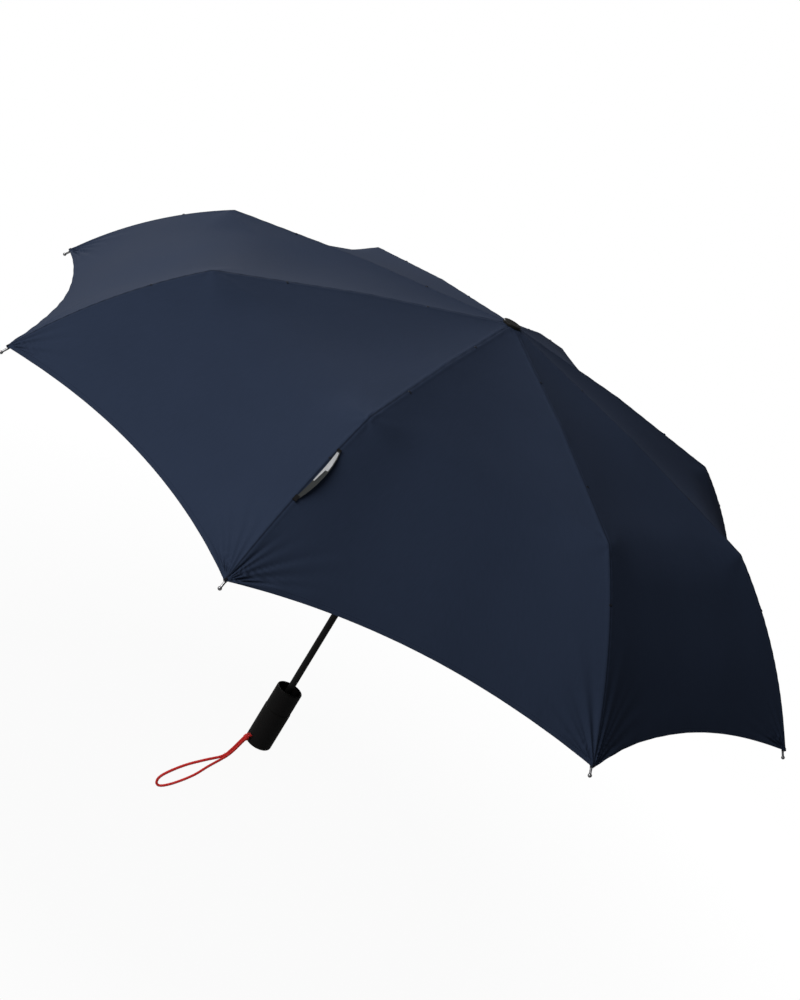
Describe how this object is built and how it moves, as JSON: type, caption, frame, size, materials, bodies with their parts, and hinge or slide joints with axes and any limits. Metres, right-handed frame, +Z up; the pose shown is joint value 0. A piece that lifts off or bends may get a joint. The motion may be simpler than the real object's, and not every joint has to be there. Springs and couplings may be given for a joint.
{
  "type": "folding umbrella",
  "caption": "Short folding umbrella with a three-section shaft, zigzag folding ribs, scalloped cloth canopy, cylindrical handle, wrist cord and closing strap.",
  "frame": {"origin": "centre of the handle's flat end", "axes": "+Z up the shaft to the crown; the first rib runs along +X and the others follow every 45 degrees about +Z; the closing strap is on the rib along -Y"},
  "size_m": [0.9872, 0.9872, 0.673],
  "materials": {
    "soft_touch_black": "soft-touch, matt",
    "core_plastic": "plain moulded",
    "black_tube": "black enamel, satin",
    "black_plastic": "moulded, satin",
    "black_steel": "black plated, satin",
    "bright_steel": "nickel plated",
    "navy_cloth": "woven polyester, fine weave",
    "strap_cloth": "woven band",
    "red_cord": "braided cord"
  },
  "bodies": {
    "handle": {"handle_grip": "soft_touch_black", "handle_cup": "soft_touch_black", "handle_core": "core_plastic", "handle_base": "soft_touch_black", "tube_pin": "bright_steel", "lower_tube": "black_tube"},
    "cord": {"wrist_cord": "red_cord"},
    "middle_shaft": {"middle_tube": "black_tube", "lower_bush": "black_plastic"},
    "top_shaft": {"top_tube": "black_tube", "upper_bush": "black_plastic", "crown_notch": "black_plastic", "crown_ring": "bright_steel", "crown_washer": "navy_cloth", "crown_cap": "black_plastic", "canopy": "navy_cloth"},
    "latch": {"latch_spring": "bright_steel"},
    "slider": {"runner": "black_plastic"},
    "top_1": {"top_rib_1": "black_steel"},
    "strut_1": {"strut_1": "black_steel"},
    "mid_1": {"mid_rib_1": "black_steel"},
    "end_1": {"end_rib_1": "bright_steel"},
    "link_1": {"link_1": "black_steel"},
    "top_2": {"top_rib_2": "black_steel"},
    "strut_2": {"strut_2": "black_steel"},
    "mid_2": {"mid_rib_2": "black_steel"},
    "end_2": {"end_rib_2": "bright_steel"},
    "link_2": {"link_2": "black_steel"},
    "top_3": {"top_rib_3": "black_steel"},
    "strut_3": {"strut_3": "black_steel"},
    "mid_3": {"mid_rib_3": "black_steel"},
    "end_3": {"end_rib_3": "bright_steel"},
    "link_3": {"link_3": "black_steel"},
    "top_4": {"top_rib_4": "black_steel"},
    "strut_4": {"strut_4": "black_steel"},
    "mid_4": {"mid_rib_4": "black_steel"},
    "end_4": {"end_rib_4": "bright_steel"},
    "link_4": {"link_4": "black_steel"},
    "top_5": {"top_rib_5": "black_steel"},
    "strut_5": {"strut_5": "black_steel"},
    "mid_5": {"mid_rib_5": "black_steel"},
    "end_5": {"end_rib_5": "bright_steel"},
    "link_5": {"link_5": "black_steel"},
    "top_6": {"top_rib_6": "black_steel"},
    "strut_6": {"strut_6": "black_steel"},
    "mid_6": {"mid_rib_6": "black_steel"},
    "end_6": {"end_rib_6": "bright_steel"},
    "link_6": {"link_6": "black_steel"},
    "top_7": {"top_rib_7": "black_steel"},
    "strut_7": {"strut_7": "black_steel"},
    "mid_7": {"mid_rib_7": "black_steel"},
    "end_7": {"end_rib_7": "bright_steel", "tie_strap": "strap_cloth"},
    "link_7": {"link_7": "black_steel"},
    "top_8": {"top_rib_8": "black_steel"},
    "strut_8": {"strut_8": "black_steel"},
    "mid_8": {"mid_rib_8": "black_steel"},
    "end_8": {"end_rib_8": "bright_steel"},
    "link_8": {"link_8": "black_steel"}
  },
  "joints": [
    {"name": "lower_shaft_slide", "type": "slide", "parent": "handle", "child": "middle_shaft", "axis": [0, 0, -1], "range_m": [0, 0.142]},
    {"name": "upper_shaft_slide", "type": "slide", "parent": "middle_shaft", "child": "top_shaft", "axis": [0, 0, -1], "range_m": [0, 0.142]},
    {"name": "runner_slide", "type": "slide", "parent": "top_shaft", "child": "slider", "axis": [0, 0, -1], "range_m": [0, 0.13179]},
    {"name": "latch_press", "type": "slide", "parent": "top_shaft", "child": "latch", "axis": [0.9239, 0.3827, 0], "range_m": [-0.0024, 0], "stiffness_N_per_m": 800},
    {"name": "cord_swing", "type": "hinge", "parent": "handle", "child": "cord", "pos_m": [-0.00952, -0.01311, 0.0095], "axis": [-0.809, 0.5878, 0], "range_deg": [-6, 40]},
    {"name": "top_1_fold", "type": "hinge", "parent": "top_shaft", "child": "top_1", "pos_m": [0.009, 0, 0.573], "axis": [0, -1, 0], "range_deg": [-76.54, 0], "deforming": ["canopy"]},
    {"name": "strut_1_fold", "type": "hinge", "parent": "top_1", "child": "strut_1", "pos_m": [0.09194, 0, 0.55375], "axis": [0, -1, 0], "range_deg": [0, 153.07]},
    {"name": "mid_1_fold", "type": "hinge", "parent": "top_1", "child": "mid_1", "pos_m": [0.17446, 0, 0.54674], "axis": [0, -1, 0], "range_deg": [0, 178.71]},
    {"name": "end_1_fold", "type": "hinge", "parent": "mid_1", "child": "end_1", "pos_m": [0.33511, 0, 0.50769], "axis": [0, -1, 0], "range_deg": [-152.42, 0]},
    {"name": "link_1_fold", "type": "hinge", "parent": "strut_1", "child": "link_1", "pos_m": [0.10363, 0, 0.55646], "axis": [0, -1, 0], "range_deg": [-146.6, 0]},
    {"name": "top_2_fold", "type": "hinge", "parent": "top_shaft", "child": "top_2", "pos_m": [0.00636, 0.00636, 0.573], "axis": [0.7071, -0.7071, 0], "range_deg": [-76.54, 0]},
    {"name": "strut_2_fold", "type": "hinge", "parent": "top_2", "child": "strut_2", "pos_m": [0.06501, 0.06501, 0.55375], "axis": [0.7071, -0.7071, 0], "range_deg": [0, 153.07]},
    {"name": "mid_2_fold", "type": "hinge", "parent": "top_2", "child": "mid_2", "pos_m": [0.12336, 0.12336, 0.54674], "axis": [0.7071, -0.7071, 0], "range_deg": [0, 178.71]},
    {"name": "end_2_fold", "type": "hinge", "parent": "mid_2", "child": "end_2", "pos_m": [0.23696, 0.23696, 0.50769], "axis": [0.7071, -0.7071, 0], "range_deg": [-152.42, 0]},
    {"name": "link_2_fold", "type": "hinge", "parent": "strut_2", "child": "link_2", "pos_m": [0.07328, 0.07328, 0.55646], "axis": [0.7071, -0.7071, 0], "range_deg": [-146.6, 0]},
    {"name": "top_3_fold", "type": "hinge", "parent": "top_shaft", "child": "top_3", "pos_m": [0, 0.009, 0.573], "axis": [1, 0, 0], "range_deg": [-76.54, 0]},
    {"name": "strut_3_fold", "type": "hinge", "parent": "top_3", "child": "strut_3", "pos_m": [0, 0.09194, 0.55375], "axis": [1, 0, 0], "range_deg": [0, 153.07]},
    {"name": "mid_3_fold", "type": "hinge", "parent": "top_3", "child": "mid_3", "pos_m": [0, 0.17446, 0.54674], "axis": [1, 0, 0], "range_deg": [0, 178.71]},
    {"name": "end_3_fold", "type": "hinge", "parent": "mid_3", "child": "end_3", "pos_m": [0, 0.33511, 0.50769], "axis": [1, 0, 0], "range_deg": [-152.42, 0]},
    {"name": "link_3_fold", "type": "hinge", "parent": "strut_3", "child": "link_3", "pos_m": [0, 0.10363, 0.55646], "axis": [1, 0, 0], "range_deg": [-146.6, 0]},
    {"name": "top_4_fold", "type": "hinge", "parent": "top_shaft", "child": "top_4", "pos_m": [-0.00636, 0.00636, 0.573], "axis": [0.7071, 0.7071, 0], "range_deg": [-76.54, 0]},
    {"name": "strut_4_fold", "type": "hinge", "parent": "top_4", "child": "strut_4", "pos_m": [-0.06501, 0.06501, 0.55375], "axis": [0.7071, 0.7071, 0], "range_deg": [0, 153.07]},
    {"name": "mid_4_fold", "type": "hinge", "parent": "top_4", "child": "mid_4", "pos_m": [-0.12336, 0.12336, 0.54674], "axis": [0.7071, 0.7071, 0], "range_deg": [0, 178.71]},
    {"name": "end_4_fold", "type": "hinge", "parent": "mid_4", "child": "end_4", "pos_m": [-0.23696, 0.23696, 0.50769], "axis": [0.7071, 0.7071, 0], "range_deg": [-152.42, 0]},
    {"name": "link_4_fold", "type": "hinge", "parent": "strut_4", "child": "link_4", "pos_m": [-0.07328, 0.07328, 0.55646], "axis": [0.7071, 0.7071, 0], "range_deg": [-146.6, 0]},
    {"name": "top_5_fold", "type": "hinge", "parent": "top_shaft", "child": "top_5", "pos_m": [-0.009, 0, 0.573], "axis": [0, 1, 0], "range_deg": [-76.54, 0]},
    {"name": "strut_5_fold", "type": "hinge", "parent": "top_5", "child": "strut_5", "pos_m": [-0.09194, 0, 0.55375], "axis": [0, 1, 0], "range_deg": [0, 153.07]},
    {"name": "mid_5_fold", "type": "hinge", "parent": "top_5", "child": "mid_5", "pos_m": [-0.17446, 0, 0.54674], "axis": [0, 1, 0], "range_deg": [0, 178.71]},
    {"name": "end_5_fold", "type": "hinge", "parent": "mid_5", "child": "end_5", "pos_m": [-0.33511, 0, 0.50769], "axis": [0, 1, 0], "range_deg": [-152.42, 0]},
    {"name": "link_5_fold", "type": "hinge", "parent": "strut_5", "child": "link_5", "pos_m": [-0.10363, 0, 0.55646], "axis": [0, 1, 0], "range_deg": [-146.6, 0]},
    {"name": "top_6_fold", "type": "hinge", "parent": "top_shaft", "child": "top_6", "pos_m": [-0.00636, -0.00636, 0.573], "axis": [-0.7071, 0.7071, 0], "range_deg": [-76.54, 0]},
    {"name": "strut_6_fold", "type": "hinge", "parent": "top_6", "child": "strut_6", "pos_m": [-0.06501, -0.06501, 0.55375], "axis": [-0.7071, 0.7071, 0], "range_deg": [0, 153.07]},
    {"name": "mid_6_fold", "type": "hinge", "parent": "top_6", "child": "mid_6", "pos_m": [-0.12336, -0.12336, 0.54674], "axis": [-0.7071, 0.7071, 0], "range_deg": [0, 178.71]},
    {"name": "end_6_fold", "type": "hinge", "parent": "mid_6", "child": "end_6", "pos_m": [-0.23696, -0.23696, 0.50769], "axis": [-0.7071, 0.7071, 0], "range_deg": [-152.42, 0]},
    {"name": "link_6_fold", "type": "hinge", "parent": "strut_6", "child": "link_6", "pos_m": [-0.07328, -0.07328, 0.55646], "axis": [-0.7071, 0.7071, 0], "range_deg": [-146.6, 0]},
    {"name": "top_7_fold", "type": "hinge", "parent": "top_shaft", "child": "top_7", "pos_m": [0, -0.009, 0.573], "axis": [-1, 0, 0], "range_deg": [-76.54, 0]},
    {"name": "strut_7_fold", "type": "hinge", "parent": "top_7", "child": "strut_7", "pos_m": [0, -0.09194, 0.55375], "axis": [-1, 0, 0], "range_deg": [0, 153.07]},
    {"name": "mid_7_fold", "type": "hinge", "parent": "top_7", "child": "mid_7", "pos_m": [0, -0.17446, 0.54674], "axis": [-1, 0, 0], "range_deg": [0, 178.71]},
    {"name": "end_7_fold", "type": "hinge", "parent": "mid_7", "child": "end_7", "pos_m": [0, -0.33511, 0.50769], "axis": [-1, 0, 0], "range_deg": [-152.42, 0]},
    {"name": "link_7_fold", "type": "hinge", "parent": "strut_7", "child": "link_7", "pos_m": [0, -0.10363, 0.55646], "axis": [-1, 0, 0], "range_deg": [-146.6, 0]},
    {"name": "top_8_fold", "type": "hinge", "parent": "top_shaft", "child": "top_8", "pos_m": [0.00636, -0.00636, 0.573], "axis": [-0.7071, -0.7071, 0], "range_deg": [-76.54, 0]},
    {"name": "strut_8_fold", "type": "hinge", "parent": "top_8", "child": "strut_8", "pos_m": [0.06501, -0.06501, 0.55375], "axis": [-0.7071, -0.7071, 0], "range_deg": [0, 153.07]},
    {"name": "mid_8_fold", "type": "hinge", "parent": "top_8", "child": "mid_8", "pos_m": [0.12336, -0.12336, 0.54674], "axis": [-0.7071, -0.7071, 0], "range_deg": [0, 178.71]},
    {"name": "end_8_fold", "type": "hinge", "parent": "mid_8", "child": "end_8", "pos_m": [0.23696, -0.23696, 0.50769], "axis": [-0.7071, -0.7071, 0], "range_deg": [-152.42, 0]},
    {"name": "link_8_fold", "type": "hinge", "parent": "strut_8", "child": "link_8", "pos_m": [0.07328, -0.07328, 0.55646], "axis": [-0.7071, -0.7071, 0], "range_deg": [-146.6, 0]}
  ],
  "couplings": [
    {"joint": "top_1_fold", "follows": "runner_slide", "rad_per_m": -10.136},
    {"joint": "strut_1_fold", "follows": "runner_slide", "rad_per_m": 20.271},
    {"joint": "mid_1_fold", "follows": "runner_slide", "rad_per_m": 23.667},
    {"joint": "end_1_fold", "follows": "runner_slide", "rad_per_m": -20.185},
    {"joint": "link_1_fold", "follows": "runner_slide", "rad_per_m": -19.414},
    {"joint": "top_2_fold", "follows": "runner_slide", "rad_per_m": -10.136},
    {"joint": "strut_2_fold", "follows": "runner_slide", "rad_per_m": 20.271},
    {"joint": "mid_2_fold", "follows": "runner_slide", "rad_per_m": 23.667},
    {"joint": "end_2_fold", "follows": "runner_slide", "rad_per_m": -20.185},
    {"joint": "link_2_fold", "follows": "runner_slide", "rad_per_m": -19.414},
    {"joint": "top_3_fold", "follows": "runner_slide", "rad_per_m": -10.136},
    {"joint": "strut_3_fold", "follows": "runner_slide", "rad_per_m": 20.271},
    {"joint": "mid_3_fold", "follows": "runner_slide", "rad_per_m": 23.667},
    {"joint": "end_3_fold", "follows": "runner_slide", "rad_per_m": -20.185},
    {"joint": "link_3_fold", "follows": "runner_slide", "rad_per_m": -19.414},
    {"joint": "top_4_fold", "follows": "runner_slide", "rad_per_m": -10.136},
    {"joint": "strut_4_fold", "follows": "runner_slide", "rad_per_m": 20.271},
    {"joint": "mid_4_fold", "follows": "runner_slide", "rad_per_m": 23.667},
    {"joint": "end_4_fold", "follows": "runner_slide", "rad_per_m": -20.185},
    {"joint": "link_4_fold", "follows": "runner_slide", "rad_per_m": -19.414},
    {"joint": "top_5_fold", "follows": "runner_slide", "rad_per_m": -10.136},
    {"joint": "strut_5_fold", "follows": "runner_slide", "rad_per_m": 20.271},
    {"joint": "mid_5_fold", "follows": "runner_slide", "rad_per_m": 23.667},
    {"joint": "end_5_fold", "follows": "runner_slide", "rad_per_m": -20.185},
    {"joint": "link_5_fold", "follows": "runner_slide", "rad_per_m": -19.414},
    {"joint": "top_6_fold", "follows": "runner_slide", "rad_per_m": -10.136},
    {"joint": "strut_6_fold", "follows": "runner_slide", "rad_per_m": 20.271},
    {"joint": "mid_6_fold", "follows": "runner_slide", "rad_per_m": 23.667},
    {"joint": "end_6_fold", "follows": "runner_slide", "rad_per_m": -20.185},
    {"joint": "link_6_fold", "follows": "runner_slide", "rad_per_m": -19.414},
    {"joint": "top_7_fold", "follows": "runner_slide", "rad_per_m": -10.136},
    {"joint": "strut_7_fold", "follows": "runner_slide", "rad_per_m": 20.271},
    {"joint": "mid_7_fold", "follows": "runner_slide", "rad_per_m": 23.667},
    {"joint": "end_7_fold", "follows": "runner_slide", "rad_per_m": -20.185},
    {"joint": "link_7_fold", "follows": "runner_slide", "rad_per_m": -19.414},
    {"joint": "top_8_fold", "follows": "runner_slide", "rad_per_m": -10.136},
    {"joint": "strut_8_fold", "follows": "runner_slide", "rad_per_m": 20.271},
    {"joint": "mid_8_fold", "follows": "runner_slide", "rad_per_m": 23.667},
    {"joint": "end_8_fold", "follows": "runner_slide", "rad_per_m": -20.185},
    {"joint": "link_8_fold", "follows": "runner_slide", "rad_per_m": -19.414}
  ]
}
